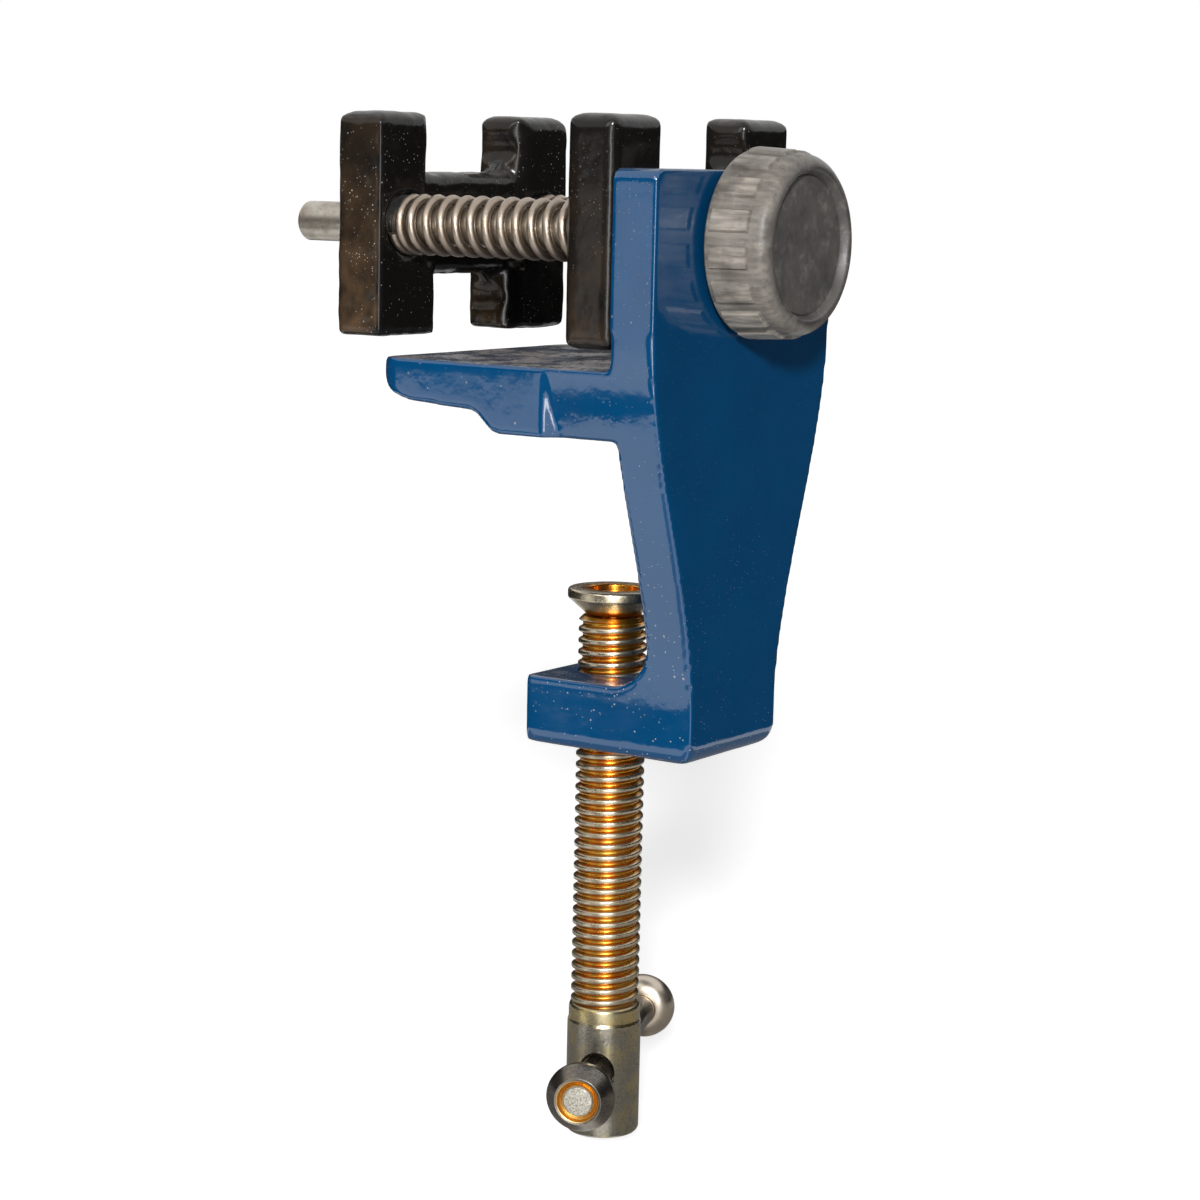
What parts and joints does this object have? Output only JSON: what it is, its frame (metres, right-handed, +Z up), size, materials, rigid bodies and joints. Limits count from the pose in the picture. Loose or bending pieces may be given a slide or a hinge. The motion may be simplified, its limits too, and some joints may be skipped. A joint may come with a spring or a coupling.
{
  "type": "watch case vise",
  "caption": "Small bench-edge vise for holding watch cases: clamped C-frame, soft-coated H-shaped jaws on sprung guide rods, fluted knob and clamp screw with tommy bar.",
  "frame": {"origin": "on the seat face that rests on the bench top, on the axis of the clamp screw", "axes": "+Z up along the clamp screw, +Y in over the bench along the guide rods, +X along the edge of the bench"},
  "size_m": [0.0672, 0.0898, 0.1779],
  "materials": {
    "blue_enamel": "glossy enamel over a casting",
    "jaw_iron": "as cast, under the coat",
    "black_coat": "thick glossy dip coat",
    "rod_steel": "drawn and ground",
    "spring_steel": "bright wire",
    "knob_plastic": "satin, scuffed",
    "yellow_zinc": "yellow zinc plate on steel",
    "bar_steel": "dark plated steel, worn"
  },
  "bodies": {
    "frame": {"frame": "blue_enamel", "fixed_jaw": "jaw_iron", "fixed_jaw_coat": "black_coat", "guide_rod_left": "rod_steel", "guide_rod_right": "rod_steel", "return_spring_left": "spring_steel", "return_spring_right": "spring_steel"},
    "knob": {"knob": "knob_plastic", "knob_cap": "knob_plastic", "lead_screw": "rod_steel", "thrust_washer": "rod_steel", "retaining_ring": "spring_steel"},
    "jaw": {"moving_jaw": "jaw_iron", "moving_jaw_coat": "black_coat", "jaw_nut": "rod_steel"},
    "pad": {"pressure_pad": "yellow_zinc"},
    "screw": {"clamp_screw": "yellow_zinc"},
    "bar": {"tommy_bar": "bar_steel", "tommy_cap_front": "bar_steel", "tommy_cap_rear": "bar_steel"}
  },
  "joints": [
    {"name": "knob_turn", "type": "hinge", "parent": "frame", "child": "knob", "pos_m": [0, -0.0258, 0.0321], "axis": [0, 1, 0], "range_deg": [-4321, 5041]},
    {"name": "jaw_slide", "type": "slide", "parent": "frame", "child": "jaw", "axis": [0, -1, 0], "range_m": [-0.012, 0.014], "deforming": ["return_spring_left", "return_spring_right"]},
    {"name": "clamp_feed", "type": "slide", "parent": "frame", "child": "pad", "axis": [0, 0, 1], "range_m": [-0.009, 0.025]},
    {"name": "clamp_turn", "type": "hinge", "parent": "pad", "child": "screw", "pos_m": [0, 0, -0.113], "axis": [0, 0, 1], "range_deg": [-1620, 4500]},
    {"name": "bar_slide", "type": "slide", "parent": "screw", "child": "bar", "axis": [0.9239, 0.3827, 0], "range_m": [-0.028, 0.009]}
  ],
  "couplings": [
    {"joint": "knob_turn", "follows": "jaw_slide", "rad_per_m": 6283.2},
    {"joint": "clamp_feed", "follows": "clamp_turn", "m_per_rad": 0.00031831}
  ]
}
